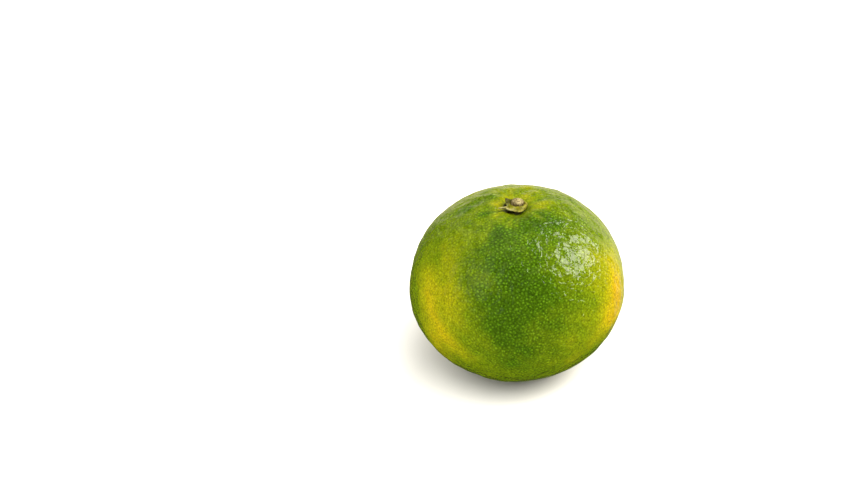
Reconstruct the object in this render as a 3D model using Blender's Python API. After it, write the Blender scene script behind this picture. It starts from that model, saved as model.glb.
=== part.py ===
"""A whole tangerine with its calyx and the cut end of its stem.

Metres, +Z up along the stem, standing on a small flat spot at Z = 0. The front of the fruit faces -Y.
Each piece is one closed solid: the fruit, the five-lobed calyx that lies in the basin at the top, and
the stub of the stem that sits in the middle of the calyx.
"""

import math
from typing import NamedTuple

import bmesh
import bpy
from mathutils import Vector

# Fruit
BELLY_RADIUS = 0.0332  # half of the greatest width
TOP_RISE = 0.0312  # from the belly up to where the top would be without its basin
BOTTOM_DROP = 0.0269  # from the belly down to the bottom before it is cut flat
TOP_POWER = 2.16  # 2 gives an ellipse, more is squarer
BOTTOM_POWER = 1.87
BELLY_BIAS = 0.0025  # share of the radius by which the +X side stands out further
OVALNESS = 0.004  # share of the radius, two waves round the fruit
OVAL_TURN = -1.8
THREE_SIDEDNESS = 0.002  # share of the radius, three waves round the fruit
THREE_SIDED_TURN = 4.8
LEAN = 0.010  # sideways shift towards +X for each metre of height
FRUIT_SEGMENTS = 72
FRUIT_RINGS = 42

# Basin round the stem and the folds that run out of it
BASIN_DEPTH = 0.0021
BASIN_RADIUS = 0.0056
FOLDS = 9
FOLD_DEPTH = 0.00036
FOLD_MIDDLE = 0.0080  # distance from the stem's axis where the folds are deepest
FOLD_SPREAD = 0.0038
FOLD_SHARPNESS = 1.5  # above 1 makes narrow valleys between broad backs
FOLD_WANDER = 0.9  # how far a fold strays from even spacing, in radians of one wave
FOLD_UNEVENNESS = 0.35  # share by which folds on one side are deeper

# Slow swellings of the peel
SWELL_WAVES = 5
SWELL_LENGTH = 0.011
SWELL_HEIGHT = 0.00005
GOLDEN_ANGLE = math.pi * (3 - math.sqrt(5))

# Bottom
FLAT_RADIUS = 0.0080  # the spot that the fruit stands on
SCAR_RADIUS = 0.0014  # the dry point where the flower's style was
SCAR_DIMPLE_RADIUS = 0.0030
SCAR_DEPTH = 0.0006

# Calyx
GAP = 0.0003  # kept between neighbouring pieces
SOCKET_RADIUS = 0.00218  # the round seat of the stem stub
COLLAR_RADIUS = 0.0027  # ridge of the fleshy ring round the stub
SEAT_THICKNESS = 0.00125
COLLAR_HEIGHT = 0.0006  # of the ring above the seat
MOUND_WIDTH = 0.0008  # how far past the socket the thick middle thins out
SEPAL_THICKNESS = 0.0007
WAIST = 0.0028  # distance from the axis to the notches between sepals
LIFT_START = 0.45  # share of the reach at which the sepals leave the peel
SLOPE_STEP = 0.01  # share of the reach over which a sepal's slope is measured
CALYX_SEGMENTS = 72
CALYX_RINGS = 8

# Stem stub
STUB_RADIUS = 0.00186
STUB_HEIGHT = 0.0015
STUB_EDGE = 0.00035  # rounding of the cut's edge
STUB_EDGE_STEPS = 3
STUB_DOME = 0.00025  # rise of the cut's middle above its edge
STUB_OVALNESS = 0.05  # share of the radius, two waves round the stub
STUB_RIBS = 5
STUB_RIB_HEIGHT = 0.03  # share of the radius
STUB_SEGMENTS = 32

SHARP_ANGLE = math.radians(50)


class Sepal(NamedTuple):
    """One lobe of the calyx."""

    heading: float  # degrees round the stem from +X
    reach: float  # beyond the waist
    half_width: float  # degrees
    sharpness: float  # 1 ends in a point, 2 and more in a round lobe
    lift: float  # of the tip off the peel


SEPALS = (
    Sepal(heading=282, reach=0.0011, half_width=34, sharpness=2.6, lift=0.0008),
    Sepal(heading=214, reach=0.0013, half_width=26, sharpness=2.2, lift=0.0004),
    Sepal(heading=151, reach=0.0011, half_width=22, sharpness=1.6, lift=0.0015),
    Sepal(heading=74, reach=0.0010, half_width=25, sharpness=1.7, lift=0.0003),
    Sepal(heading=5, reach=0.0003, half_width=24, sharpness=1.9, lift=0.0003),
)
# The long dry tip of the second sepal, which lies along the peel
DRY_TIP = Sepal(heading=205, reach=0.0044, half_width=10, sharpness=1.2, lift=0.0)


def clear_scene():
    """Removes every object of the file that this script is run in."""
    for item in list(bpy.data.objects):
        bpy.data.objects.remove(item, do_unlink=True)


def make_material(name, color, roughness):
    """Returns a plain material of one colour."""
    material = bpy.data.materials.new(name)
    material.use_nodes = True
    shader = material.node_tree.nodes["Principled BSDF"]
    shader.inputs["Base Color"].default_value = (*color, 1.0)
    shader.inputs["Roughness"].default_value = roughness
    shader.inputs["Metallic"].default_value = 0.0
    material.diffuse_color = (*color, 1.0)
    return material


def peel_material():
    return make_material("peel", (0.085, 0.240, 0.012), 0.38)


def calyx_material():
    return make_material("dried_calyx", (0.290, 0.265, 0.060), 0.60)


def stub_material():
    return make_material("cut_stem", (0.400, 0.310, 0.150), 0.75)


def add_object(name, mesh_data, material):
    """Turns a bmesh into a named, smooth-shaded object of the scene."""
    bmesh.ops.recalc_face_normals(mesh_data, faces=mesh_data.faces)
    mesh = bpy.data.meshes.new(name)
    mesh_data.to_mesh(mesh)
    mesh_data.free()
    mesh.materials.append(material)
    mesh.shade_smooth()
    mesh.set_sharp_from_angle(angle=SHARP_ANGLE)
    item = bpy.data.objects.new(name, mesh)
    bpy.context.scene.collection.objects.link(item)
    return item


def bell(distance, width):
    """A smooth hump: 1 at the middle, near 0 past twice the width."""
    return math.exp(-((distance / width) ** 2))


def profile(polar):
    """Distance from the axis and height above the belly, for an angle measured from the stem."""
    sine = abs(math.sin(polar))
    cosine = math.cos(polar)
    rise, power = (TOP_RISE, TOP_POWER) if cosine > 0 else (BOTTOM_DROP, BOTTOM_POWER)
    return BELLY_RADIUS * sine ** (2 / power), math.copysign(rise * abs(cosine) ** (2 / power), cosine)


def polar_at(distance):
    """The angle from the stem at which the upper profile has this distance from the axis."""
    return math.asin((distance / BELLY_RADIUS) ** (TOP_POWER / 2))


def cut_level():
    """Height above the belly at which the flat spot cuts the bottom."""
    share = (FLAT_RADIUS / BELLY_RADIUS) ** BOTTOM_POWER
    return -BOTTOM_DROP * (1 - share) ** (1 / BOTTOM_POWER)


def roundness(azimuth):
    """The fruit's width on one side, as a share of the belly's radius."""
    bias = BELLY_BIAS * math.cos(azimuth)
    oval = OVALNESS * math.cos(2 * azimuth + OVAL_TURN)
    three_sided = THREE_SIDEDNESS * math.cos(3 * azimuth + THREE_SIDED_TURN)
    return 1 + bias + oval + three_sided


def fold_depth(distance, azimuth):
    """Depth of the folds that run out of the basin."""
    wander = FOLD_WANDER * (math.sin(azimuth) + math.sin(2 * azimuth + 1))
    wave = 0.5 + 0.5 * math.cos(FOLDS * azimuth + wander)
    strength = 1 - FOLD_UNEVENNESS * (1 + math.sin(3 * azimuth + 1)) / 2
    return FOLD_DEPTH * strength * wave**FOLD_SHARPNESS * bell(distance - FOLD_MIDDLE, FOLD_SPREAD)


def swelling(point):
    """Height of the slow swellings: waves of different lengths that cross each other."""
    height = 0.0
    for index in range(SWELL_WAVES):
        turn = GOLDEN_ANGLE * index
        slope = (2 * index + 1) / SWELL_WAVES - 1
        flat = math.sqrt(1 - slope**2)
        heading = Vector((flat * math.cos(turn), flat * math.sin(turn), slope))
        length = SWELL_LENGTH * (1 + index / SWELL_WAVES)
        height += SWELL_HEIGHT * math.cos(2 * math.pi * heading.dot(point) / length + turn)
    return height


def skin_point(polar, azimuth):
    """A point of the peel, for an angle from the stem and a heading round it."""
    distance, height = profile(polar)
    if height > 0:
        height -= BASIN_DEPTH * bell(distance, BASIN_RADIUS) + fold_depth(distance, azimuth)
    distance *= roundness(azimuth)
    point = Vector((distance * math.cos(azimuth), distance * math.sin(azimuth), height))
    point += swelling(point) * point.normalized()
    point.x += LEAN * point.z
    point.z -= cut_level()
    return point


def press_ring(mesh_data, face, radius, height):
    """Grows a face inwards to a ring round the fruit's dry point and returns the face inside it."""
    centre = skin_point(math.pi, 0.0)
    inner = bmesh.ops.extrude_discrete_faces(mesh_data, faces=[face])["faces"][0]
    for vertex in inner.verts:
        away = Vector((vertex.co.x - centre.x, vertex.co.y - centre.y, 0.0))
        away.length = radius
        vertex.co = (centre.x + away.x, centre.y + away.y, height)
    return inner


def make_fruit():
    """The fruit: a sphere pushed to the peel's formula, cut flat below and dimpled at its dry point."""
    mesh_data = bmesh.new()
    bmesh.ops.create_uvsphere(mesh_data, u_segments=FRUIT_SEGMENTS, v_segments=FRUIT_RINGS, radius=1.0)
    for vertex in mesh_data.verts:
        polar = math.acos(max(-1.0, min(1.0, vertex.co.z)))
        vertex.co = skin_point(polar, math.atan2(vertex.co.y, vertex.co.x))
    whole = mesh_data.verts[:] + mesh_data.edges[:] + mesh_data.faces[:]
    cut = bmesh.ops.bisect_plane(
        mesh_data, geom=whole, plane_co=(0, 0, 0), plane_no=(0, 0, -1), clear_outer=True
    )
    rim = [piece for piece in cut["geom_cut"] if isinstance(piece, bmesh.types.BMEdge)]
    flat = bmesh.ops.contextual_create(mesh_data, geom=rim)["faces"][0]
    dimple = press_ring(mesh_data, flat, SCAR_DIMPLE_RADIUS, 0.0)
    press_ring(mesh_data, dimple, SCAR_RADIUS, SCAR_DEPTH)
    return add_object("fruit", mesh_data, peel_material())


def sepal_share(sepal, azimuth):
    """How much of a sepal is left at a heading round the stem: 1 along its middle, 0 beside it."""
    away = math.remainder(azimuth - math.radians(sepal.heading), 2 * math.pi)
    return math.exp(-(abs(away / math.radians(sepal.half_width)) ** sepal.sharpness))


def calyx_reach(azimuth):
    """Distance from the axis to the edge of the calyx."""
    return WAIST + max(sepal.reach * sepal_share(sepal, azimuth) for sepal in (*SEPALS, DRY_TIP))


def calyx_lift(azimuth):
    """Height by which the edge of the calyx stands off the peel."""
    return sum(sepal.lift * sepal_share(sepal, azimuth) for sepal in SEPALS)


def calyx_mound(distance):
    """Height by which the calyx's middle is thicker than its sepals: a seat and a collar round the stub."""
    seat = (SEAT_THICKNESS - SEPAL_THICKNESS) * bell(max(0.0, distance - SOCKET_RADIUS), MOUND_WIDTH)
    return seat + COLLAR_HEIGHT * bell(distance - COLLAR_RADIUS, COLLAR_RADIUS - SOCKET_RADIUS)


def calyx_underside(share, azimuth):
    """A point of the calyx's underside, for a share of the way from the axis to the edge."""
    point = skin_point(polar_at(share * calyx_reach(azimuth)), azimuth)
    bend = max(0.0, share - LIFT_START) / (1 - LIFT_START)
    point.z += GAP + calyx_lift(azimuth) * bend**2
    return point


def calyx_top(share, azimuth):
    """The point above calyx_underside, set off square to the sepal's rise so that steep ones stay as thick."""
    rise = calyx_underside(share + SLOPE_STEP, azimuth) - calyx_underside(share - SLOPE_STEP, azimuth)
    sideways = Vector((-math.sin(azimuth), math.cos(azimuth), 0.0))
    square = rise.cross(sideways).normalized()
    mound = Vector((0.0, 0.0, calyx_mound(share * calyx_reach(azimuth))))
    return calyx_underside(share, azimuth) + square * SEPAL_THICKNESS + mound


def stem_seat():
    """The point of the stem's axis at the underside of the calyx."""
    return calyx_underside(0.0, 0.0)


def close_band(mesh_data, inner, outer):
    """Joins two rings of as many points with four-sided faces."""
    for index in range(len(inner)):
        after = (index + 1) % len(inner)
        mesh_data.faces.new((inner[index], inner[after], outer[after], outer[index]))


def close_fan(mesh_data, middle, ring):
    """Joins a ring to one point in its middle."""
    for index in range(len(ring)):
        mesh_data.faces.new((middle, ring[(index + 1) % len(ring)], ring[index]))


def make_calyx():
    """The calyx: its underside and its top as rings of points, joined round the edge."""
    mesh_data = bmesh.new()
    headings = [2 * math.pi * step / CALYX_SEGMENTS for step in range(CALYX_SEGMENTS)]
    shares = [ring / CALYX_RINGS for ring in range(1, CALYX_RINGS + 1)]
    rims = []
    for surface, height in ((calyx_underside, 0.0), (calyx_top, SEAT_THICKNESS)):
        rings = [[mesh_data.verts.new(surface(share, heading)) for heading in headings] for share in shares]
        middle = mesh_data.verts.new(stem_seat() + Vector((0.0, 0.0, height)))
        close_fan(mesh_data, middle, rings[0])
        for inner, outer in zip(rings, rings[1:]):
            close_band(mesh_data, inner, outer)
        rims.append(rings[-1])
    close_band(mesh_data, *rims)
    return add_object("calyx", mesh_data, calyx_material())


def stub_outline():
    """The stub's profile from the axis at its foot to the axis at its cut, as distances and heights."""
    edge_centre = STUB_RADIUS - STUB_EDGE
    turns = [math.pi / 2 * step / STUB_EDGE_STEPS for step in range(STUB_EDGE_STEPS + 1)]
    rounded = [
        (edge_centre + STUB_EDGE * math.cos(turn), STUB_HEIGHT - STUB_EDGE * (1 - math.sin(turn)))
        for turn in turns
    ]
    domed = [(edge_centre * share, STUB_HEIGHT + STUB_DOME * (1 - share**2)) for share in (0.5, 0.0)]
    return [(0.0, 0.0), (edge_centre, 0.0), *rounded, *domed]


def make_stub():
    """The stub: an upright profile turned about the stem, then made slightly uneven."""
    foot = stem_seat() + Vector((0.0, 0.0, SEAT_THICKNESS + GAP))
    mesh_data = bmesh.new()
    points = [mesh_data.verts.new((distance, 0.0, height)) for distance, height in stub_outline()]
    edges = [mesh_data.edges.new(pair) for pair in zip(points, points[1:])]
    bmesh.ops.spin(
        mesh_data, geom=points + edges, cent=(0, 0, 0), axis=(0, 0, 1), angle=2 * math.pi,
        steps=STUB_SEGMENTS, use_merge=True, use_duplicate=False,
    )
    bmesh.ops.remove_doubles(mesh_data, verts=mesh_data.verts, dist=1e-6)
    for vertex in mesh_data.verts:
        azimuth = math.atan2(vertex.co.y, vertex.co.x)
        oval = STUB_OVALNESS * math.cos(2 * azimuth)
        ribs = STUB_RIB_HEIGHT * math.cos(STUB_RIBS * azimuth)
        vertex.co.xy *= 1 + oval + ribs
        vertex.co += foot
    return add_object("stem_stub", mesh_data, stub_material())


def main():
    clear_scene()
    make_fruit()
    make_calyx()
    make_stub()


main()
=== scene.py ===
"""A whole tangerine whose green rind has begun to colour, with its dried calyx and cut stem.

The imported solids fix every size. This script puts a finer rind, calyx and stem end in their place, dresses
them, and sets them in a plain white studio. Metres, +Z up along the stem, the front of the fruit at -Y.
"""

import logging
import math
from collections.abc import Iterable, Mapping, Sequence
from dataclasses import dataclass, field
from enum import Enum

import bmesh
import bpy
import numpy as np
from bpy.types import Collection, Light, Material, Node, NodeSocket, NodeTree, Object
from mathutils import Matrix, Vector


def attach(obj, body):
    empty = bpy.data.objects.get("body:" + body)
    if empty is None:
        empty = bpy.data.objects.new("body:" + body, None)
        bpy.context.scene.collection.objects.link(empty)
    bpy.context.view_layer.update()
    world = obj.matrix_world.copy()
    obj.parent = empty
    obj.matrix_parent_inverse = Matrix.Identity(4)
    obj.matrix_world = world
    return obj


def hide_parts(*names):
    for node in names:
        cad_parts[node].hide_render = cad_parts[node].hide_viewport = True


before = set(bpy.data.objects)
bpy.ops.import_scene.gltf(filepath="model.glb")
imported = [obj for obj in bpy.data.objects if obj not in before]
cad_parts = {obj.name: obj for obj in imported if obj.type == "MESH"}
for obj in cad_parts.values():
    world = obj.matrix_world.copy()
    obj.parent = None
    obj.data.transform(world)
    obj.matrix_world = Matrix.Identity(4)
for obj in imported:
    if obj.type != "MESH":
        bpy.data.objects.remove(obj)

Array = np.ndarray
Range = tuple[float, float]
Stops = tuple[tuple[float, str], ...]
Waves = tuple[tuple[float, int, float], ...]
Inputs = Mapping[str | int, object] | Sequence[object]

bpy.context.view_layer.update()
IMAGE_WIDTH = 853
IMAGE_HEIGHT = 480
MILLIMETRE = 0.001
GOLDEN_ANGLE = math.pi * (3 - math.sqrt(5))
NEAR_AXIS = 1e-6
TINY = 1e-9
# The sockets of a Mix node, which shares one list among its kinds
COLOR_A, COLOR_B, MIXED_COLOR = 6, 7, 2
VALUE_A, VALUE_B = 2, 3

log = logging.getLogger("tangerine")


class Part(Enum):
    """The sub-assemblies, by the name of the solid that each stands for."""

    FRUIT = "fruit"
    CALYX = "calyx"
    STEM = "stem_stub"


class RecordSlot(Enum):
    """Names of material slots, which this script does not use."""

    PEEL = "peel"
    CALYX = "dried_calyx"
    STEM = "cut_stem"


class Mark(Enum):
    """What is painted on a mesh, point by point, for its material to read."""

    RIPENESS = "ripeness"
    GLAND = "gland"
    CROWN = "crown"
    SCAR = "scar"
    DRYNESS = "dryness"
    SHADE = "shade"
    CUT_FACE = "cut_face"
    # Painted shadow: darkens the rind under the calyx's edge
    PAINTED_SHADOW = "painted_shadow"


def bell(distance: Array | float, width: float) -> Array:
    """A smooth hump: e to the power of minus the square of distance over width."""
    return np.exp(-((np.asarray(distance) / width) ** 2))


def ramp(value: Array | float, start: float, end: float) -> Array:
    """A smooth step from 0 at start to 1 at end: 3t^2 - 2t^3 of the clipped share t of the way."""
    share = np.clip((np.asarray(value) - start) / (end - start), 0.0, 1.0)
    return share * share * (3.0 - 2.0 * share)


def angle_between(first: Array | float, second: float) -> Array:
    """The signed turn from a heading to others, wrapped to within half a turn either way."""
    return (np.asarray(first) - second + math.pi) % (2 * math.pi) - math.pi


def unit(vectors: Array) -> Array:
    """Each vector over its own length."""
    return vectors / np.linalg.norm(vectors, axis=-1, keepdims=True)


def fan(turn: Array) -> Array:
    """Unit vectors, one a column, at even steps of height going up, each turned by its own angle."""
    slope = (2 * np.arange(len(turn)) + 1) / len(turn) - 1
    flat = np.sqrt(1 - slope**2)
    return np.stack([flat * np.cos(turn), flat * np.sin(turn), slope])


def bearing(heading: float, elevation: float) -> Array:
    """The unit vector towards a heading round the stem and an elevation, both in degrees."""
    turn, rise = math.radians(heading), math.radians(elevation)
    return np.array([math.cos(rise) * math.cos(turn), math.cos(rise) * math.sin(turn), math.sin(rise)])


def around_stem(points: Array) -> tuple[Array, Array]:
    """Each point's distance from the stem's axis and its heading round it."""
    return np.hypot(points[..., 0], points[..., 1]), np.arctan2(points[..., 1], points[..., 0])


@dataclass(frozen=True)
class CrossingWaves:
    """A restless field with no grain: plane cosine waves that cross in all directions.

    Each wave is cos(2 pi (heading . point) / length + phase). Headings are spread over a sphere by the
    golden angle, and lengths run evenly from the shortest to the longest. The seed shifts every phase.
    """

    count: int
    shortest: float
    longest: float
    seed: float

    def at(self, points: Array) -> Array:
        """The field at points shaped (..., 3), with a root mean square near 1."""
        index = np.arange(self.count)
        turn = GOLDEN_ANGLE * (index + 1) * (1 + index % 3)
        spread = ((index * 7) % self.count) / max(1, self.count - 1)
        lengths = self.shortest + (self.longest - self.shortest) * spread
        waves = np.cos(2 * math.pi * (points @ fan(turn)) / lengths + turn * self.seed)
        return waves.sum(axis=-1) * math.sqrt(2 / self.count)


def face_normals(points: Array, triangles: Array) -> Array:
    """Two sides of each triangle crossed, which is square to it."""
    a, b, c = (points[triangles[:, corner]] for corner in range(3))
    return np.cross(b - a, c - a)


def hull_triangles(directions: Array) -> Array:
    """The triangles that join evenly spread unit vectors, as the hull of their points, facing outwards."""
    mesh = bpy.data.meshes.new("hull")
    mesh.from_pydata(directions.tolist(), [], [])
    hull = bmesh.new()
    hull.from_mesh(mesh)
    bmesh.ops.convex_hull(hull, input=hull.verts)
    hull.to_mesh(mesh)
    hull.free()
    corners = np.zeros(len(mesh.loops), np.int32)
    mesh.loops.foreach_get("vertex_index", corners)
    bpy.data.meshes.remove(mesh)
    triangles = corners.reshape(-1, 3)
    inward = (face_normals(directions, triangles) * directions[triangles[:, 0]]).sum(axis=-1) < 0
    return np.where(inward[:, None], triangles[:, ::-1], triangles)


def gland_sphere(count: int, jitter: float, seed: int) -> tuple[Array, Array, Array, Array]:
    """A unit sphere of triangles whose corners fall on evenly spread glands.

    Gland i lies at height 1 - (2i + 1) / count and is turned by i golden angles, then moved at random.
    The triangles between neighbouring glands are each cut in four, at the middles of their sides.

    Args:
        count: How many glands there are.
        jitter: How far a gland strays, as a share of the mean spacing.
        seed: Of the random moves.

    Returns:
        Unit directions, triangles, each direction's angle to its nearest gland, and that gland's number.
    """
    glands = fan(GOLDEN_ANGLE * np.arange(count)).T * (1.0, 1.0, -1.0)
    spacing = math.sqrt(4 * math.pi / count)
    glands = unit(glands + np.random.default_rng(seed).normal(size=glands.shape) * spacing * jitter)
    triangles = hull_triangles(glands)
    steps = [(first, second) for first in range(3) for second in range(3 - first)]
    weights = np.array([(2 - first - second, first, second) for first, second in steps]) / 2
    number = {step: place for place, step in enumerate(steps)}
    cut = [[number[a, b], number[a + 1, b], number[a, b + 1]] for a, b in steps if a + b < 2]
    cut.append([number[1, 0], number[1, 1], number[0, 1]])
    corners = glands[triangles]
    points = unit(np.einsum("pc,tcx->tpx", weights, corners))
    away = np.linalg.norm(points[:, :, None, :] - corners[:, None, :, :], axis=-1)
    nearest = np.take_along_axis(triangles[:, None, :], away.argmin(axis=-1)[..., None], axis=-1)[..., 0]
    away = away.min(axis=-1).reshape(-1)
    small = np.array(cut)[None] + (np.arange(len(triangles)) * len(steps))[:, None, None]
    flat_points = points.reshape(-1, 3)
    rounded = np.round(flat_points, 6) + 0.0
    _, first, joined = np.unique(rounded, axis=0, return_index=True, return_inverse=True)
    joined = joined.reshape(-1)
    return flat_points[first], joined[small.reshape(-1, 3)], away[first], nearest.reshape(-1)[first]


def closed_rings(rings: Array, first_pole: Array, last_pole: Array) -> tuple[Array, list[list[int]]]:
    """Joins a stack of rings into one closed surface with a fan of triangles at each end.

    The faces point outwards where the rings turn counter-clockwise, seen from above, and run from the
    lower pole out, up and in to the upper pole.

    Args:
        rings: Points shaped (rings, segments, 3).
        first_pole: The point that closes the first ring.
        last_pole: The point that closes the last ring.

    Returns:
        The points and the faces.
    """
    count, segments, _ = rings.shape
    index = np.arange(count * segments).reshape(count, segments)
    after = np.roll(index, -1, axis=1)
    quads = np.stack([index[:-1], after[:-1], after[1:], index[1:]], axis=-1).reshape(-1, 4)
    low, high = index.size, index.size + 1
    first = np.stack([np.full(segments, low), after[0], index[0]], axis=-1)
    last = np.stack([np.full(segments, high), index[-1], after[-1]], axis=-1)
    points = np.concatenate([rings.reshape(-1, 3), [first_pole, last_pole]])
    return points, quads.tolist() + first.tolist() + last.tolist()


def point_normals(points: Array, triangles: Array) -> Array:
    """Outward normals: the triangles' own, added up at their corners and made unit length."""
    across = face_normals(points, triangles)
    total = np.zeros_like(points)
    for corner in range(3):
        np.add.at(total, triangles[:, corner], across)
    return unit(total)


def add_piece(
    name: str,
    points: Array,
    faces: Sequence[Sequence[int]],
    material: Material,
    marks: Mapping[Mark, Array] | None = None,
) -> Object:
    """Makes a smooth-shaded object at the origin from points in world metres.

    Args:
        name: The object's name.
        points: Its points, shaped (points, 3).
        faces: Point numbers of each face.
        material: Its one material.
        marks: Values from 0 to 1 for each point, kept as attributes.

    Returns:
        The object, linked to the scene.
    """
    mesh = bpy.data.meshes.new(name)
    mesh.from_pydata(points.tolist(), [], faces)
    for mark, values in (marks or {}).items():
        attribute = mesh.attributes.new(mark.value, "FLOAT", "POINT")
        attribute.data.foreach_set("value", np.clip(values, 0.0, 1.0).astype(np.float32))
    mesh.materials.append(material)
    mesh.validate()
    mesh.shade_smooth()
    piece = bpy.data.objects.new(name, mesh)
    bpy.context.scene.collection.objects.link(piece)
    log.info("%s: %d points, %d faces", name, len(mesh.vertices), len(mesh.polygons))
    return piece


def stand_for(piece: Object, part: Part) -> None:
    """Lets a piece ride on the one body in the place of its solid."""
    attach(piece, "root")
    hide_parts(part.value)


def linear(hex_color: str) -> tuple[float, float, float, float]:
    """Turns an sRGB colour such as "#4f8a12" into the linear one that shaders take, with full alpha."""
    shares = [int(hex_color[start : start + 2], 16) / 255 for start in (1, 3, 5)]
    red, green, blue = (s / 12.92 if s <= 0.04045 else ((s + 0.055) / 1.055) ** 2.4 for s in shares)
    return red, green, blue, 1.0


def feed(tree: NodeTree, node: Node, inputs: Inputs) -> None:
    """Gives a node's inputs, by name or number or in order, their values or the outputs that feed them."""
    pairs = inputs.items() if isinstance(inputs, Mapping) else enumerate(inputs)
    for name, value in pairs:
        if isinstance(value, NodeSocket):
            tree.links.new(value, node.inputs[name])
        else:
            node.inputs[name].default_value = value


def add_node(
    tree: NodeTree,
    kind: str,
    inputs: Inputs = (),
    out: str | int = 0,
    stops: Stops = (),
    **settings: object,
) -> NodeSocket:
    """Adds a node with its settings, values and links.

    Args:
        tree: The node tree that it goes into.
        kind: The node's class, without ShaderNode in front.
        inputs: Each input's value or the output that feeds it, by name or number or in order.
        out: The output that is wanted, by name or number.
        stops: A colour ramp's places from 0 to 1 and sRGB colours.
        settings: The node's own properties.

    Returns:
        The wanted output.
    """
    node = tree.nodes.new("ShaderNode" + kind)
    for name, value in settings.items():
        setattr(node, name, value)
    for place, hex_color in stops:
        at_end = place >= 1.0
        stop = node.color_ramp.elements[-1] if at_end else node.color_ramp.elements.new(place)
        stop.position = place
        stop.color = linear(hex_color)
    if stops:
        node.color_ramp.elements.remove(node.color_ramp.elements[0])
    feed(tree, node, inputs)
    return node.outputs[out]


def lay_over(tree: NodeTree, color: object, layers: Iterable[tuple[NodeSocket, object]]) -> NodeSocket:
    """Lays colours over a first one, each by its own amount from 0 to 1."""
    for amount, layer in layers:
        mixed = {"Factor": amount, COLOR_A: color, COLOR_B: layer}
        color = add_node(tree, "Mix", mixed, MIXED_COLOR, data_type="RGBA")
    return color


def new_material(name: str) -> tuple[Material, NodeTree, Node]:
    """Returns a new node material, its tree and its Principled shader."""
    material = bpy.data.materials.new(name)
    material.use_nodes = True
    return material, material.node_tree, material.node_tree.nodes["Principled BSDF"]


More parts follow.
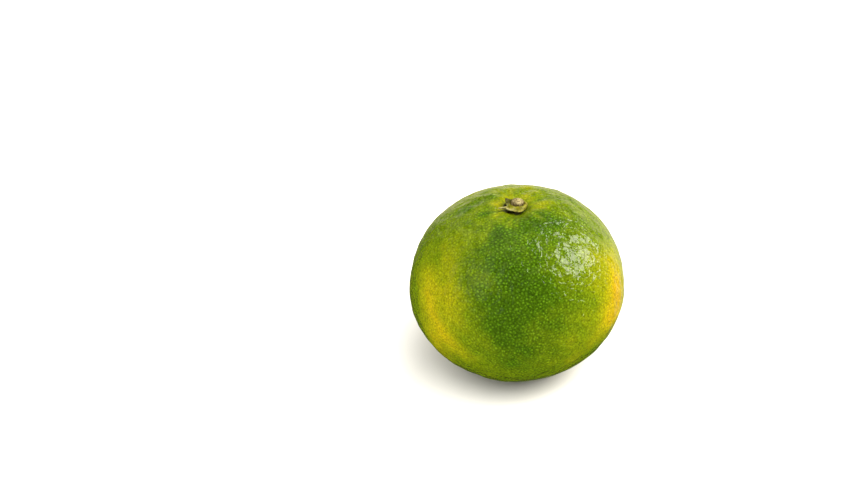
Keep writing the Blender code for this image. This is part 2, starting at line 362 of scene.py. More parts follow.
@dataclass(frozen=True)
class RindFinish:
    """Fresh citrus rind, grown: a clear wax over a skin full of oil glands.

    The wax gives a bright gloss, and waves and creases 2 to 3 mm apart break it into patches. The glands
    show as pale dots in deeper green, each in its own shallow pit. The heights and depths of this relief
    are in millimetres. The grain of a real rind is finer than a pixel, so it is drawn coarser.
    """

    name: str = "citrus_rind"
    crease_spacing: float = 2.4 * MILLIMETRE
    crease_width: float = 0.14
    crease_depth: float = 0.06
    wave_length: float = 2.8 * MILLIMETRE
    wave_height: float = 0.68
    mottle_length: float = 3.5 * MILLIMETRE
    unevenness: float = 0.22
    grain_length: float = 0.55 * MILLIMETRE
    grain_tones: Range = (0.62, 1.38)
    grain_height: float = 0.006
    noise_range: Range = (0.3, 0.7)
    pit_depth: float = 0.016
    dot_edges: Range = (0.05, 0.8)
    wax_ior: float = 1.5
    wax_roughness: float = 0.12
    roughness: Range = (0.26, 0.38)
    glow: float = 0.05
    glow_radius: tuple[float, float, float] = (1.0, 0.7, 0.15)
    glow_depth: float = 0.8 * MILLIMETRE
    stages: tuple[float, ...] = (0.0, 0.24, 0.45, 0.65, 0.82, 1.0)
    between: tuple[str, ...] = ("#385a05", "#4e7107", "#809609", "#adb00c", "#cfbe0f", "#e3ba15")
    glands: tuple[str, ...] = ("#61981c", "#7bac1b", "#a0bb1b", "#c7ca1c", "#e1cf1d", "#f4c824")
    crown_color: str = "#a2ac0e"
    scar_color: str = "#6a4c24"
    # Near-black painted shadow, laid on the rind under the calyx's edge
    painted_shadow_color: str = "#2c2808"

    def make(self) -> Material:
        """Builds the rind's material.

        Returns:
            The material, which reads the marks for ripeness, glands, crown, scar and the painted shadow
            under the calyx.
        """
        material, tree, shader = new_material(self.name)
        place = add_node(tree, "TexCoord", out="Object")
        ripeness, gland, crown, scar, painted_shadow = (
            add_node(tree, "Attribute", out="Fac", attribute_name=mark.value)
            for mark in (Mark.RIPENESS, Mark.GLAND, Mark.CROWN, Mark.SCAR, Mark.PAINTED_SHADOW)
        )
        patterns = (
            (self.crease_spacing, 2.0, "Color"),
            (self.wave_length, 1.0, "Fac"),
            (self.grain_length, 2.0, "Fac"),
            (self.mottle_length, 3.0, "Fac"),
        )
        wobble, wave, grain, mottle = (
            add_node(tree, "TexNoise", {"Vector": place, "Scale": 1 / length, "Detail": detail}, out)
            for length, detail, out in patterns
        )
        reach = (self.crease_spacing,) * 3
        shift = add_node(tree, "VectorMath", (wobble, reach, place), operation="MULTIPLY_ADD")
        cells = {"Vector": shift, "Scale": 1 / self.crease_spacing, "Randomness": 1.0}
        crease = add_node(tree, "TexVoronoi", cells, "Distance", feature="DISTANCE_TO_EDGE")
        steps = (
            (crease, 0.0, self.crease_width, -self.crease_depth, 0.0),
            (gland, *self.dot_edges, 0.0, 1.0),
        )
        smooth = {"interpolation_type": "SMOOTHSTEP"}
        groove, dots = (add_node(tree, "MapRange", step, **smooth) for step in steps)
        mottled = (mottle, self.unevenness, -self.unevenness / 2)
        uneven = add_node(tree, "Math", mottled, operation="MULTIPLY_ADD")
        ripe = add_node(tree, "Math", (ripeness, uneven), operation="ADD")
        between, glands = (
            add_node(tree, "ValToRGB", (ripe,), stops=tuple(zip(self.stages, colors)))
            for colors in (self.between, self.glands)
        )
        color = lay_over(tree, between, ((dots, glands),))
        tone = add_node(tree, "MapRange", (grain, *self.noise_range, *self.grain_tones))
        gloss = add_node(tree, "MapRange", (mottle, *self.noise_range, *self.roughness))
        color = add_node(tree, "VectorMath", {0: color, "Scale": tone}, operation="SCALE")
        # The last layer is the painted shadow under the calyx
        layers = ((crown, self.crown_color), (scar, self.scar_color), (painted_shadow, self.painted_shadow_color))
        color = lay_over(tree, color, ((amount, linear(layer)) for amount, layer in layers))
        height = groove
        reliefs = ((wave, self.wave_height), (gland, -self.pit_depth), (grain, self.grain_height))
        for value, size in reliefs:
            height = add_node(tree, "Math", (value, size, height), operation="MULTIPLY_ADD")
        bump = add_node(tree, "Bump", {"Height": height, "Strength": 1.0, "Distance": MILLIMETRE})
        looks = {
            "Base Color": color,
            "Roughness": gloss,
            "Normal": bump,
            "Coat Normal": bump,
            "IOR": self.wax_ior,
            "Specular IOR Level": 0.0,
            "Subsurface Weight": self.glow,
            "Subsurface Radius": self.glow_radius,
            "Subsurface Scale": self.glow_depth,
            "Coat Weight": 1.0,
            "Coat Roughness": self.wax_roughness,
            "Coat IOR": self.wax_ior,
        }
        feed(tree, shader, looks)
        return material


@dataclass(frozen=True)
class SepalFinish:
    """Half-dried calyx: leathery and yellow-green where it is thick, papery and cream where it is dry, with
    a darker olive painted shade where its shade mark is set, most on the raised back-left lobe.
    """

    name: str = "dried_sepal"
    flesh: str = "#aca91a"
    # Painted shade: a darker olive that stands in for shade on the lobes, most on the raised back-left one
    shade_olive: str = "#54560f"
    dry: str = "#e6dc92"
    vein_length: float = 0.25 * MILLIMETRE
    vein_height: float = 0.06 * MILLIMETRE
    vein_strength: float = 0.8
    speck_range: Range = (0.35, 0.7)
    speck_tones: Range = (0.45, 1.35)
    roughness: float = 0.55
    ior: float = 1.45
    sheen: float = 0.3
    glow: float = 0.1
    glow_depth: float = 0.6 * MILLIMETRE

    def make(self) -> Material:
        """Builds the calyx's material.

        Returns:
            The material, which reads the marks for dryness and shade.
        """
        material, tree, shader = new_material(self.name)
        place = add_node(tree, "TexCoord", out="Object")
        mottle, fine = (
            add_node(tree, "TexNoise", {"Vector": place, "Scale": 1 / length, "Detail": detail})
            for length, detail in ((4 * self.vein_length, 4.0), (self.vein_length, 3.0))
        )
        shade, dryness = (
            add_node(tree, "Attribute", out="Fac", attribute_name=mark.value)
            for mark in (Mark.SHADE, Mark.DRYNESS)
        )
        # Olive painted shade first, then the cream of the dry edges
        layers = ((shade, linear(self.shade_olive)), (dryness, linear(self.dry)))
        color = lay_over(tree, linear(self.flesh), layers)
        speck = add_node(tree, "MapRange", (mottle, *self.speck_range, *self.speck_tones))
        tone = add_node(tree, "VectorMath", {0: color, "Scale": speck}, operation="SCALE")
        veins = {"Height": fine, "Strength": self.vein_strength, "Distance": self.vein_height}
        looks = {
            "Base Color": tone,
            "Normal": add_node(tree, "Bump", veins),
            "Roughness": self.roughness,
            "IOR": self.ior,
            "Specular IOR Level": self.sheen,
            "Subsurface Weight": self.glow,
            "Subsurface Scale": self.glow_depth,
        }
        feed(tree, shader, looks)
        return material


@dataclass(frozen=True)
class CutStemFinish:
    """A woody stalk cut with shears and weathered: pale fibre ends, dark pores, brown bark.

    The pores of such wood are finer than a pixel, so they are drawn coarser.
    """

    name: str = "weathered_cut_wood"
    wood: str = "#e2d08e"
    pores: str = "#6a5430"
    bark: str = "#4e3d14"
    pore_spacing: float = 0.45 * MILLIMETRE
    pore_edges: Range = (0.25, 0.6)
    pore_stain: float = 0.95
    pore_depth: float = 0.06 * MILLIMETRE
    pore_strength: float = 0.7
    blotch_edges: Range = (0.45, 0.68)
    blotch_stain: float = 0.7
    roughness: float = 0.7
    ior: float = 1.5
    sheen: float = 0.3

    def make(self) -> Material:
        """Builds the stem's material.

        Returns:
            The material, which reads the mark for the cut face.
        """
        material, tree, shader = new_material(self.name)
        place = add_node(tree, "TexCoord", out="Object")
        face = add_node(tree, "Attribute", out="Fac", attribute_name=Mark.CUT_FACE.value)
        cells = {"Vector": place, "Scale": 1 / self.pore_spacing, "Randomness": 1.0}
        pores = add_node(tree, "TexVoronoi", cells, "Distance")
        clouds = {"Vector": place, "Scale": 1 / (3 * self.pore_spacing), "Detail": 4.0}
        mottle = add_node(tree, "TexNoise", clouds)
        pore = add_node(tree, "MapRange", (pores, *self.pore_edges, self.pore_stain, 0.0))
        blotch = add_node(tree, "MapRange", (mottle, *self.blotch_edges, 0.0, self.blotch_stain))
        stain = add_node(tree, "Math", (pore, blotch), operation="MAXIMUM")
        fibre = lay_over(tree, linear(self.wood), ((stain, linear(self.pores)),))
        relief = {"Height": pores, "Strength": self.pore_strength, "Distance": self.pore_depth}
        looks = {
            "Base Color": lay_over(tree, linear(self.bark), ((face, fibre),)),
            "Normal": add_node(tree, "Bump", relief),
            "Roughness": self.roughness,
            "IOR": self.ior,
            "Specular IOR Level": self.sheen,
        }
        feed(tree, shader, looks)
        return material


@dataclass(frozen=True)
class Skin:
    """The fruit's smooth shape, by the same rule and sizes as its solid's."""

    belly_radius: float = 0.0332
    top_rise: float = 0.0312
    bottom_drop: float = 0.0269
    top_power: float = 2.16
    bottom_power: float = 1.87
    belly_bias: float = 0.0025
    ovalness: float = 0.004
    oval_turn: float = -1.8
    three_sidedness: float = 0.002
    three_sided_turn: float = 4.8
    lean: float = 0.010
    basin_depth: float = 0.0021
    basin_radius: float = 0.0056
    folds: int = 9
    fold_depth: float = 0.00036
    fold_middle: float = 0.0080
    fold_spread: float = 0.0038
    fold_sharpness: float = 1.5
    fold_wander: float = 0.9
    fold_unevenness: float = 0.35
    swell_waves: int = 5
    swell_length: float = 0.011
    swell_height: float = 0.00005
    flat_radius: float = 0.0080

    @property
    def belly_height(self) -> float:
        """How high the belly is over the flat spot: the height of the bottom's curve at its radius."""
        share = (self.flat_radius / self.belly_radius) ** self.bottom_power
        return self.bottom_drop * (1 - share) ** (1 / self.bottom_power)

    def profile(self, polar: Array) -> tuple[Array, Array]:
        """The outline that is turned about the stem: a superellipse, squarer above the belly than below.

        The distance from the axis is the radius times sine to the power 2/n. The height is the rise
        times cosine to the power 2/n.

        Args:
            polar: Angles from the stem.

        Returns:
            Distances from the axis and heights over the belly.
        """
        sine, cosine = np.abs(np.sin(polar)), np.cos(polar)
        power = np.where(cosine > 0, self.top_power, self.bottom_power)
        rise = np.where(cosine > 0, self.top_rise, self.bottom_drop)
        height = np.copysign(rise * np.abs(cosine) ** (2 / power), cosine)
        return self.belly_radius * sine ** (2 / power), height

    def roundness(self, azimuth: Array) -> Array:
        """The width on one side as a share of the belly's: waves once, twice and three times round."""
        bias = self.belly_bias * np.cos(azimuth)
        oval = self.ovalness * np.cos(2 * azimuth + self.oval_turn)
        three_sided = self.three_sidedness * np.cos(3 * azimuth + self.three_sided_turn)
        return 1 + bias + oval + three_sided

    def folding(self, distance: Array, azimuth: Array) -> Array:
        """Depth of the folds: an uneven wave round the stem, deepest on a ring round the basin."""
        wander = self.fold_wander * (np.sin(azimuth) + np.sin(2 * azimuth + 1))
        wave = 0.5 + 0.5 * np.cos(self.folds * azimuth + wander)
        strength = 1 - self.fold_unevenness * (1 + np.sin(3 * azimuth + 1)) / 2
        ring = bell(distance - self.fold_middle, self.fold_spread)
        return self.fold_depth * strength * wave**self.fold_sharpness * ring

    def swelling(self, points: Array) -> Array:
        """Height of the slow swellings: a few long cosine waves that cross each other."""
        index = np.arange(self.swell_waves)
        turn = GOLDEN_ANGLE * index
        lengths = self.swell_length * (1 + index / self.swell_waves)
        waves = np.cos(2 * math.pi * (points @ fan(turn)) / lengths + turn)
        return self.swell_height * waves.sum(axis=-1)

    def point(self, polar: Array, azimuth: Array) -> Array:
        """Points of the skin over the flat spot, for angles from the stem and headings round it."""
        distance, height = self.profile(polar)
        sunk = self.basin_depth * bell(distance, self.basin_radius) + self.folding(distance, azimuth)
        height = height - np.where(height > 0, sunk, 0.0)
        distance = distance * self.roundness(azimuth)
        points = np.stack([distance * np.cos(azimuth), distance * np.sin(azimuth), height], axis=-1)
        points = points + self.swelling(points)[..., None] * unit(points)
        points[..., 0] += self.lean * points[..., 2]
        points[..., 2] += self.belly_height
        return points

    def top_point(self, distance: Array, azimuth: Array) -> Array:
        """Points of the upper skin at distances from the stem's axis."""
        polar = np.arcsin((distance / self.belly_radius) ** (self.top_power / 2))
        return self.point(polar, azimuth)


@dataclass(frozen=True)
class Blush:
    """A patch of rind that is riper, or greener, than the rest, drawn along an arc of the fruit.

    Headings are degrees round the stem from +X. Latitudes are degrees above the belly, seen from its
    middle. The patch fades as a bell of the angle from its arc.
    """

    start: Range
    end: Range
    width: float
    strength: float

    def amount(self, directions: Array) -> Array:
        """How much this patch adds to the ripeness.

        Args:
            directions: Unit vectors from the fruit's middle, shaped (points, 3).

        Returns:
            The strength times a bell of the angle to the nearest point of the arc.
        """
        first, last = bearing(*self.start), bearing(*self.end)
        length = math.acos(min(1.0, float(first @ last)))
        across = unit(last - (first @ last) * first + TINY)
        along = np.clip(np.arctan2(directions @ across, directions @ first), 0.0, length)
        nearest = np.cos(along)[:, None] * first + np.sin(along)[:, None] * across
        angle = np.arccos(np.clip((directions * nearest).sum(axis=-1), -1.0, 1.0))
        return self.strength * bell(angle, math.radians(self.width))


@dataclass
class Rind:
    """The fruit's outside: the skin with its undulations, crown wrinkles, flat spot and stylar scar."""

    skin: Skin
    calyx: "Calyx"
    finish: RindFinish = field(default_factory=RindFinish)
    glands: int = 16000
    jitter: float = 0.27
    gland_sizes: Range = (0.3, 1.0)
    seed: int = 7
    pit_depth: float = 0.035 * MILLIMETRE
    inset: float = 0.10 * MILLIMETRE
    undulation: float = 0.035 * MILLIMETRE
    undulations: CrossingWaves = CrossingWaves(24, 0.0032, 0.0068, 5.0)
    wrinkle: float = 0.08 * MILLIMETRE
    wrinkles: int = 22
    wrinkle_ring: Range = (0.0066, 0.0030)
    rough_heights: Range = (0.040, 0.054)
    floor_softness: float = 0.25 * MILLIMETRE
    below_heights: Range = (0.002, 0.006)
    dimple_depth: float = 0.55 * MILLIMETRE
    dimple_radius: float = 2.2 * MILLIMETRE
    scar_edges: Range = (0.75 * MILLIMETRE, 1.25 * MILLIMETRE)
    upper_heights: Range = (0.040, 0.050)
    ray_count: int = 15
    ray_twist: float = 120.0
    ray_ring: Range = (0.0068, 0.0042)
    ray_ripeness: float = 0.06
    ray_paleness: float = 0.12
    crown_ring: Range = (0.0042, 0.0026)
    crown_paleness: float = 0.35
    # Where the painted shadow under the calyx fades out, and how far each lobe's lift pushes it outwards
    painted_shadow_edges: Range = (-0.0004, 0.0001)
    painted_shadow_lift: float = 0.25
    warp: float = 1.2 * MILLIMETRE
    warps: tuple[CrossingWaves, ...] = tuple(CrossingWaves(6, 0.012, 0.024, seed) for seed in (1, 2, 3))
    patch: float = 0.07
    patches: CrossingWaves = CrossingWaves(12, 0.004, 0.010, 6.0)
    patch_heights: Range = (0.050, 0.057)
    drift: float = 0.025
    drifts: CrossingWaves = CrossingWaves(8, 0.007, 0.016, 4.0)
    base_ripeness: float = 0.37
    blushes: tuple[Blush, ...] = (
        Blush((-148, 44), (-124, -6), 14, 0.25),
        Blush((-140, 18), (-130, 0), 9, 0.17),
        Blush((-156, 14), (-142, -10), 12, 0.18),
        Blush((-18, 23), (-22, 8), 12, 0.30),
        Blush((-22, 14), (-34, 2), 10, 0.27),
        Blush((-2, 24), (-8, -4), 15, 0.17),
        Blush((-38, 4), (-58, -6), 13, 0.15),
        Blush((-28, 34), (-34, 26), 11, 0.15),
        Blush((-76, 34), (-92, 20), 16, -0.21),
        Blush((-92, 64), (-50, 70), 12, -0.19),
        Blush((-100, 0), (-72, -8), 14, -0.05),
        Blush((-112, 46), (-100, 44), 12, -0.15),
        Blush((-165, 52), (-150, 56), 14, -0.08),
        Blush((-8, 44), (-14, 42), 9, -0.09),
        Blush((95, 74), (70, 72), 11, 0.18),
        Blush((120, 34), (104, -16), 20, 0.34),
        Blush((62, 8), (54, -24), 18, 0.14),
        Blush((82, 40), (74, 14), 18, -0.22),
        Blush((28, -4), (10, -28), 20, -0.14),
        Blush((165, -30), (140, -44), 22, 0.15),
        Blush((-134, 83), (-132, 60), 4, 0.16),
        Blush((2, 82), (2, 76), 5, 0.12),
        Blush((-174, 83), (-178, 78), 4, 0.10),
        # Painted shade: a narrow darker green line at the calyx's right edge, standing in for the shade in a
        # furrow there
        Blush((4, 87), (15, 84), 2.5, -0.20),
        Blush((-100, 82), (-60, 82), 4, -0.13),
    )

    def ripeness(self, points: Array) -> Array:
        """How far the rind has coloured, 0 deep green to 1 orange: all the fields below, added up."""
        middle = np.array([0.0, 0.0, self.skin.belly_height])
        warp = self.warp * np.stack([waves.at(points) for waves in self.warps], axis=-1)
        directions = unit(points + warp - middle)
        total = sum(blush.amount(directions) for blush in self.blushes)
        total = total + self.ray_ripeness * self.rays(points)
        patches = self.patch * ramp(points[:, 2], *self.patch_heights) * self.patches.at(points)
        return self.base_ripeness + total + patches + self.drift * self.drifts.at(points)

    def rays(self, points: Array) -> Array:
        """Rays round the stem, -1 to 1: an uneven cosine of the heading, times a bell of the distance."""
        distance, azimuth = around_stem(points)
        wander = 2.0 * np.sin(3 * azimuth) + 1.5 * np.sin(5 * azimuth + 2)
        comb = np.cos(self.ray_count * azimuth + wander + self.ray_twist * distance)
        middle, width = self.ray_ring
        return comb * bell(distance - middle, width) * ramp(points[:, 2], *self.upper_heights)

    def crown(self, points: Array) -> Array:
        """The yellow-green ring round the calyx and its paler rays: a bell of the distance, and rays."""
        middle, width = self.crown_ring
        ring = bell(around_stem(points)[0] - middle, width)
        upper = ramp(points[:, 2], *self.upper_heights)
        return upper * self.crown_paleness * ring + self.ray_paleness * np.maximum(self.rays(points), 0.0)

    def painted_shadow(self, points: Array) -> Array:
        """Painted shadow: a dark ring on the rind under the calyx, a smooth step down at its edge, further
        out where it lifts.
        """
        distance, azimuth = around_stem(points)
        past = distance - self.calyx.reach(azimuth) - self.painted_shadow_lift * self.calyx.lift(azimuth)
        return (1 - ramp(past, *self.painted_shadow_edges)) * ramp(points[:, 2], *self.upper_heights)

    def relief(self, points: Array) -> Array:
        """Height over the smooth skin, never above 0: restless undulations and rays of fine wrinkles."""
        distance, azimuth = around_stem(points)
        upper = ramp(points[:, 2], *self.rough_heights)
        waves = self.undulation * (1 + upper) * self.undulations.at(points)
        comb = np.cos(self.wrinkles * azimuth + 3.0 * np.sin(2 * azimuth) + 2.0 * np.sin(7 * azimuth))
        middle, width = self.wrinkle_ring
        wrinkles = self.wrinkle * comb * bell(distance - middle, width) * upper
        return np.minimum(waves + wrinkles - self.inset * (1 + upper), 0.0)

    def build(self) -> None:
        """Makes the rind from a sphere whose corners fall on the oil glands.

        Each direction becomes a polar angle and a heading of the skin's rule. The glands sink in as
        shallow cones. The bottom is pressed softly to the floor, then dimpled round the dry stylar point.
        """
        directions, triangles, away, nearest = gland_sphere(self.glands, self.jitter, self.seed)
        ring = math.sqrt(4 * math.pi / self.glands) / 2
        size = np.random.default_rng(self.seed + 1).uniform(*self.gland_sizes, self.glands)
        gland = np.clip(1 - away / ring, 0.0, 1.0) * size[nearest]
        polar = np.arccos(np.clip(directions[:, 2], -1.0, 1.0))
        smooth = self.skin.point(polar, around_stem(directions)[1])
        relief = self.relief(smooth) - self.pit_depth * gland
        points = smooth + relief[:, None] * point_normals(smooth, triangles)
        height = points[:, 2]
        points[:, 2] = 0.5 * (height + np.sqrt(height**2 + self.floor_softness**2))
        centre = self.skin.point(np.array([math.pi]), np.array([0.0]))[0]
        distance = around_stem(points - centre)[0]
        below = 1 - ramp(points[:, 2], *self.below_heights)
        points[:, 2] += below * self.dimple_depth * bell(distance, self.dimple_radius)
        marks = {
            Mark.RIPENESS: self.ripeness(points),
            Mark.GLAND: gland,
            Mark.CROWN: self.crown(points),
            Mark.SCAR: below * (1 - ramp(distance, *self.scar_edges)),
            Mark.PAINTED_SHADOW: self.painted_shadow(points),
        }
        piece = add_piece("rind", points, triangles.tolist(), self.finish.make(), marks)
        stand_for(piece, Part.FRUIT)


@dataclass(frozen=True)
class Sepal:
    """One lobe of the calyx."""

    heading: float
    reach: float
    half_width: float
    sharpness: float
    lift: float
    dryness: float
    # How much painted shade the lobe's colour gets, 0 to 1
    shade: float

    def share(self, azimuth: Array) -> Array:
        """How much of the lobe is left at a heading: 1 along its middle, 0 beside it."""
        away = angle_between(azimuth, math.radians(self.heading))
        return np.exp(-(np.abs(away / math.radians(self.half_width)) ** self.sharpness))


@dataclass
class Calyx:
    """The dried star under the stem: a fleshy seat and collar, and five lobes with papery edges."""

    skin: Skin
    finish: SepalFinish = field(default_factory=SepalFinish)
    sepals: tuple[Sepal, ...] = (
        Sepal(277, 0.0017, 22, 1.4, 0.0006, 0.25, 0.0),
        Sepal(222, 0.0015, 26, 2.4, 0.0007, 0.90, 0.0),
        Sepal(152, 0.0014, 28, 1.2, 0.0017, 0.05, 1.0),
        Sepal(74, 0.0010, 25, 1.7, 0.0003, 0.30, 0.4),
        Sepal(5, 0.0003, 24, 1.9, 0.0002, 0.10, 0.1),
    )
    dry_tip: Sepal = Sepal(206, 0.0039, 6.5, 1.0, 0.0, 0.8, 0.2)
    crinkles: Waves = ((0.00006, 23, 0.0), (0.00004, 41, 1.0))
    gap: float = 0.0003
    socket_radius: float = 0.00218
    collar_radius: float = 0.0027
    seat_thickness: float = 0.00125
    collar_height: float = 0.0006
    mound_width: float = 0.0008
    sepal_thickness: float = 0.0007
    edge_thickness: float = 0.00028
    thin_shares: Range = (0.55, 1.0)
    dry_shares: Range = (0.72, 0.95)
    shade_shares: Range = (0.3, 0.7)
    bare_weight: float = 0.05
    waist: float = 0.0028
    lift_start: float = 0.45
    slope_step: float = 0.01
    first_share: float = 0.12
    segments: int = 300
    rings: int = 44

    def reach(self, azimuth: Array) -> Array:
        """Distance from the axis to the edge: the waist, the longest lobe there, and crinkles."""
        lobes = [sepal.reach * sepal.share(azimuth) for sepal in (*self.sepals, self.dry_tip)]
        crinkle = sum(height * np.sin(count * azimuth + phase) for height, count, phase in self.crinkles)
        return self.waist + np.max(lobes, axis=0) + crinkle

    def lift(self, azimuth: Array) -> Array:
        """Height by which the edge stands off the peel: every lobe's lift, added up."""
        return sum(sepal.lift * sepal.share(azimuth) for sepal in self.sepals)

    def mound(self, distance: Array) -> Array:
        """How much thicker the middle is than the lobes: a seat that thins out and a collar round it."""
        past = np.maximum(0.0, distance - self.socket_radius)
        seat = (self.seat_thickness - self.sepal_thickness) * bell(past, self.mound_width)
        width = self.collar_radius - self.socket_radius
        return seat + self.collar_height * bell(distance - self.collar_radius, width)

    def underside(self, share: Array, azimuth: Array) -> Array:
        """Points of the underside, for shares of the way from the axis to the edge."""
        points = self.skin.top_point(share * self.reach(azimuth), azimuth)
        bend = np.maximum(0.0, share - self.lift_start) / (1 - self.lift_start)
        points[..., 2] += self.gap + self.lift(azimuth) * bend**2
        return points

    def middle(self, height: float = 0.0) -> Array:
        """The point on the axis at a height over the underside."""
        return self.underside(np.array([NEAR_AXIS]), np.array([0.0]))[0] + (0.0, 0.0, height)

    def top(self, share: Array, azimuth: Array) -> Array:
        """The points above the underside, set off square to the lobe's rise, thinning towards the edge."""
        step = self.slope_step
        rise = self.underside(share + step, azimuth) - self.underside(share - step, azimuth)
        sideways = np.stack([-np.sin(azimuth), np.cos(azimuth), np.zeros_like(azimuth)], axis=-1)
        square = unit(np.cross(rise, sideways))
        thinned = (self.edge_thickness - self.sepal_thickness) * ramp(share, *self.thin_shares)
        points = self.underside(share, azimuth) + square * (self.sepal_thickness + thinned)[..., None]
        points[..., 2] += self.mound(share * self.reach(azimuth))
        return points

    def build(self) -> None:
        """Makes the calyx: the underside out to the edge and the top back in, closed at the axis."""
        shares = np.linspace(self.first_share, 1.0, self.rings)
        headings = np.arange(self.segments) * 2 * math.pi / self.segments
        share, azimuth = np.meshgrid(shares, headings, indexing="ij")
        rings = np.concatenate([self.underside(share, azimuth), self.top(share, azimuth)[::-1]])
        points, faces = closed_rings(rings, self.middle(), self.middle(self.seat_thickness))
        all_shares = np.concatenate([share, share[::-1]])
        all_headings = np.concatenate([azimuth, azimuth[::-1]])
        marks = self.marks(all_shares.reshape(-1), all_headings.reshape(-1))
        piece = add_piece("calyx_star", points, faces, self.finish.make(), marks)
        stand_for(piece, Part.CALYX)

    def marks(self, share: Array, azimuth: Array) -> dict[Mark, Array]:
        """Dryness and shade of each point, with a 0 for each of the two poles."""
        lobes = (*self.sepals, self.dry_tip)
        weights = np.array([lobe.share(azimuth) for lobe in lobes])
        weights = weights / (weights.sum(axis=0) + self.bare_weight)
        dryness = ramp(share, *self.dry_shares) * (np.array([lobe.dryness for lobe in lobes]) @ weights)
        shade = ramp(share, *self.shade_shares) * (np.array([lobe.shade for lobe in lobes]) @ weights)
        poles = np.zeros(2)
        return {Mark.DRYNESS: np.append(dryness, poles), Mark.SHADE: np.append(shade, poles)}


@dataclass
class StemEnd:
    """The cut end of the stalk in the calyx's seat: ribbed bark round a slightly domed, checked face."""

    calyx: Calyx
    finish: CutStemFinish = field(default_factory=CutStemFinish)
    radius: float = 0.00186
    height: float = 0.0015
    edge: float = 0.0012
    dome: float = 0.00025
    ovalness: float = 0.05
    ribs: Waves = ((0.03, 5, 0.0), (0.008, 13, 1.0), (0.006, 21, 0.0))
    gap: float = 0.0003
    bark_height: float = 0.78
    bark_tilt: float = 0.2
    high_bark: float = 2.3
    bark_fade: Range = (-0.25, 0.15)
    bark_cover: float = 0.45
    ticks: int = 19
    segments: int = 120
    edge_steps: int = 9
    side_steps: int = 7
    face_steps: int = 13

    def bared(self, level: Array, azimuth: Array) -> Array:
        """How much wood shows, 0 bark to 1 cut face, at heights over the foot.

        The bark ends at a tilted line, highest at one heading, and fades there by a smooth step of the
        height. Ticks of wood show through it: an uneven cosine of the heading.
        """
        ticks = 0.5 + 0.5 * np.cos(self.ticks * azimuth + 2 * np.sin(3 * azimuth) + np.sin(7 * azimuth))
        bark_top = self.height * (self.bark_height + self.bark_tilt * np.cos(azimuth - self.high_bark))
        above = ramp((level - bark_top) / self.height, *self.bark_fade)
        return 1 - (1 - above) * (self.bark_cover + (1 - self.bark_cover) * ticks)

    def build(self) -> None:
        """Makes the stub: a profile of foot, side, rounded edge and dome, turned and made uneven."""
        inner = self.radius - self.edge
        turn = np.linspace(0.0, math.pi / 2, self.edge_steps)
        side = np.linspace(0.0, 1.0, self.side_steps + 2)[1:-1]
        face = np.linspace(1.0, 0.0, self.face_steps + 2)[1:-1]
        sides = np.full(self.side_steps, self.radius)
        distance = np.concatenate([[inner], sides, inner + self.edge * np.cos(turn), inner * face])
        height = np.concatenate([
            [0.0],
            side * (self.height - self.edge),
            self.height - self.edge * (1 - np.sin(turn)),
            self.height + self.dome * (1 - face**2),
        ])
        azimuth = np.arange(self.segments) * 2 * math.pi / self.segments
        ribs = sum(size * np.cos(count * azimuth + phase) for size, count, phase in self.ribs)
        radius = distance[:, None] * (1 + self.ovalness * np.cos(2 * azimuth) + ribs)
        level = np.broadcast_to(height[:, None], radius.shape)
        foot = self.calyx.middle(self.calyx.seat_thickness + self.gap)
        rings = np.stack([radius * np.cos(azimuth), radius * np.sin(azimuth), level], axis=-1) + foot
        points, faces = closed_rings(rings, foot, foot + (0.0, 0.0, self.height + self.dome))
        marks = {Mark.CUT_FACE: np.append(self.bared(level, azimuth).reshape(-1), [0.0, 1.0])}
        piece = add_piece("stem_end", points, faces, self.finish.make(), marks)
        stand_for(piece, Part.STEM)


def hang(light: Light, away: Vector) -> Object:
    """Adds a light to the scene that shines back along a direction."""
    lamp = bpy.data.objects.new(light.name, light)
    lamp.rotation_euler = (-away).to_track_quat("-Z", "Y").to_euler()
    bpy.context.scene.collection.objects.link(lamp)
    return lamp


@dataclass(frozen=True)
class SoftBox:
    """A square studio light that points at the fruit, placed by heading, elevation and distance."""

    name: str
    heading: float
    elevation: float
    distance: float
    size: float
    watts: float
    color: str = "#ffffff"
    mirrored: bool = True

    def build(self, target: Vector) -> None:
        """Adds the light, turned towards the target."""
        away = Vector(bearing(self.heading, self.elevation))
        light = bpy.data.lights.new(self.name, "AREA")
        light.energy = self.watts
        light.size = self.size
        light.color = linear(self.color)[:3]
        box = hang(light, away)
        box.location = target + away * self.distance
        box.visible_camera = False
        box.visible_glossy = self.mirrored


@dataclass(frozen=True)
class Wash:
    """Soft parallel light for the floor alone, which keeps it white out to the horizon."""

    name: str
    heading: float
    elevation: float
    irradiance: float
    angle: float = 54.0

    def build(self, receivers: Collection) -> None:
        """Adds the light, linked to what it may fall on."""
        light = bpy.data.lights.new(self.name, "SUN")
        light.energy = self.irradiance
        light.angle = math.radians(self.angle)
        sun = hang(light, Vector(bearing(self.heading, self.elevation)))
        sun.light_linking.receiver_collection = receivers


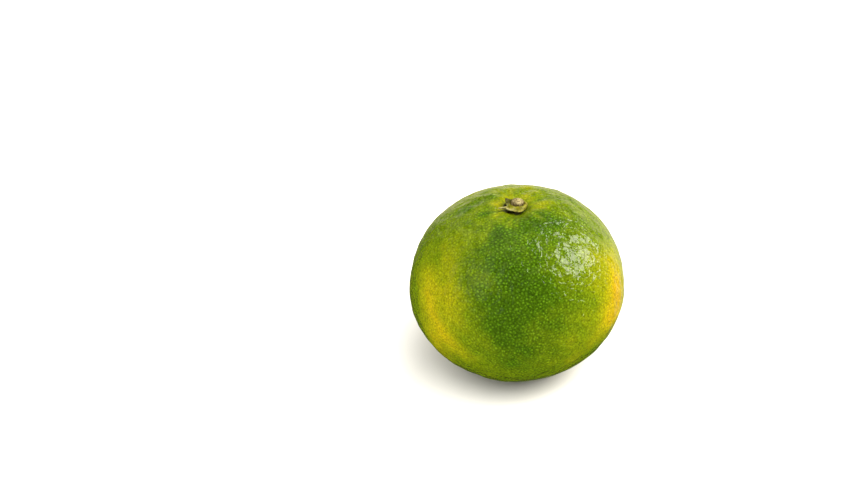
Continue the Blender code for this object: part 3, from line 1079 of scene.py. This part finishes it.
@dataclass
class Studio:
    """The white sweep, its lights and the camera, which looks down on the fruit from the front.

    Light that bounces off the floor is weaker than the camera sees it, which keeps the shaded side deep.
    """

    skin: Skin
    floor_size: float = 6.0
    floor_color: str = "#bebbb4"
    floor_bounce: float = 0.44
    floor_roughness: float = 0.9
    floor_sheen: float = 0.2
    sky_color: str = "#ffffff"
    sky_strength: float = 0.385
    room_gloss: float = 0.02
    gloss_color: str = "#fff8c0"
    canopy_gloss: float = 0.7
    canopy_elevation: float = 53.0
    canopy_edges: Range = (0.42, 0.75)
    canopy_gaps: Range = (0.53, 0.60)
    canopy_folds: float = 3.5
    wall_gloss: float = 0.9
    wall_heading: float = 75.0
    wall_sides: Range = (0.68, 0.9)
    wall_top: Range = (-0.05, 0.25)
    backdrop_strength: float = 1.0
    lens: float = 75.0
    distance: float = 0.55
    nearest: float = 0.01
    elevation: float = 35.0
    aim: Range = (516.4, 288.5)
    lights: tuple[SoftBox, ...] = (
        SoftBox("key_light", 7.0, 38.0, 0.60, 0.38, 3.1, "#fffaf2"),
        SoftBox("fill_light", -142.0, 39.0, 0.70, 0.85, 1.65, mirrored=False),
        SoftBox("side_panel", -140.0, 39.0, 0.70, 0.50, 0.30),
        SoftBox("top_light", 155.0, 48.0, 0.90, 0.90, 1.8, mirrored=False),
    )
    washes: tuple[Wash, ...] = (
        Wash("left_wash", -150.0, 48.0, 2.2),
        Wash("front_wash", -50.0, 48.0, 3.0),
        Wash("rear_wash", 50.0, 48.0, 2.6),
        Wash("high_wash", -50.0, 66.0, 3.8),
    )

    def build_floor(self) -> Object:
        """Adds a plain pale floor at the height that the fruit stands on."""
        material, tree, shader = new_material("matt_white_paper")
        paper = linear(self.floor_color)
        shadowy = tuple(share * self.floor_bounce for share in paper[:3]) + (1.0,)
        bounced = add_node(tree, "LightPath", out="Is Diffuse Ray")
        looks = {
            "Base Color": lay_over(tree, paper, ((bounced, shadowy),)),
            "Roughness": self.floor_roughness,
            "Specular IOR Level": self.floor_sheen,
        }
        feed(tree, shader, looks)
        half = self.floor_size / 2
        corners = np.array([(-half, -half, 0), (half, -half, 0), (half, half, 0), (-half, half, 0)], float)
        floor = add_piece("floor", corners, [[0, 1, 2, 3]], material)
        floor.visible_glossy = False
        return floor

    def build_world(self) -> None:
        """Fills the room with even light, and lets the gloss mirror a dim room with warm pale cloth in it.

        A canopy with gaps hangs over and behind the fruit: a smooth step of the cosine between a direction
        and its own, times a step of noise. A low wall stands behind: a step of the cosine to its heading,
        times one down from its top edge. Where the room is seen as the backdrop it is white.
        """
        world = bpy.data.worlds.new("white_room")
        world.use_nodes = True
        world.cycles.sampling_method = "NONE"
        tree = world.node_tree
        mirror, lens = (add_node(tree, "LightPath", out=ray) for ray in ("Is Glossy Ray", "Is Camera Ray"))
        outward = add_node(tree, "TexCoord", out="Object")
        level = add_node(tree, "SeparateXYZ", (outward,), "Z")
        facing, towards = (
            add_node(tree, "VectorMath", (outward, heading), "Value", operation="DOT_PRODUCT")
            for heading in (bearing(90.0, self.canopy_elevation), bearing(self.wall_heading, 0.0))
        )
        folds = add_node(tree, "TexNoise", {"Vector": outward, "Scale": self.canopy_folds, "Detail": 0.0})
        steps = (
            (facing, *self.canopy_edges, 0.0, self.canopy_gloss),
            (folds, *self.canopy_gaps, 0.0, 1.0),
            (towards, *self.wall_sides, 0.0, 1.0),
            (level, *self.wall_top, self.wall_gloss, 0.0),
        )
        smooth = {"interpolation_type": "SMOOTHSTEP"}
        canopy, gaps, across, down = (add_node(tree, "MapRange", step, **smooth) for step in steps)
        gloss = self.room_gloss
        for first, second in ((canopy, gaps), (across, down)):
            gloss = add_node(tree, "Math", (first, second, gloss), operation="MULTIPLY_ADD")
        strength = self.sky_strength
        for ray, amount in ((mirror, gloss), (lens, self.backdrop_strength)):
            strength = add_node(tree, "Mix", {"Factor": ray, VALUE_A: strength, VALUE_B: amount})
        tint = lay_over(tree, linear(self.sky_color), ((mirror, linear(self.gloss_color)),))
        feed(tree, tree.nodes["Background"], {"Color": tint, "Strength": strength})
        bpy.context.scene.world = world
        bpy.context.scene.view_settings.view_transform = "Standard"

    def build_camera(self, target: Vector) -> None:
        """Adds the camera so that the target falls on its place in the image.

        Args:
            target: The middle of the fruit's belly.
        """
        away = Vector(bearing(-90.0, self.elevation))
        data = bpy.data.cameras.new("camera")
        data.lens = self.lens
        data.clip_start = self.nearest
        focal = IMAGE_WIDTH * self.lens / data.sensor_width
        across, down = self.aim[0] - IMAGE_WIDTH / 2, self.aim[1] - IMAGE_HEIGHT / 2
        seen = Vector((across / focal, -down / focal, -1.0)).normalized()
        turned = seen.rotation_difference(Vector((0.0, 0.0, -1.0)))
        camera = bpy.data.objects.new("camera", data)
        camera.location = target + away * self.distance
        camera.rotation_mode = "QUATERNION"
        camera.rotation_quaternion = (-away).to_track_quat("-Z", "Y") @ turned
        bpy.context.scene.collection.objects.link(camera)
        bpy.context.scene.camera = camera

    def build(self) -> None:
        """Sets up the floor, the room, the lights and the camera."""
        target = Vector((0.0, 0.0, self.skin.belly_height))
        floor = self.build_floor()
        self.build_world()
        for light in self.lights:
            light.build(target)
        washed = bpy.data.collections.new("washed_floor")
        washed.objects.link(floor)
        for wash in self.washes:
            wash.build(washed)
        self.build_camera(target)


def main() -> None:
    """Builds the fruit from the outside in, then the studio round it."""
    logging.basicConfig(level=logging.INFO, format="%(name)s: %(message)s")
    skin = Skin()
    Studio(skin).build()
    calyx = Calyx(skin)
    Rind(skin, calyx).build()
    calyx.build()
    StemEnd(calyx).build()


if __name__ == "__main__":
    main()
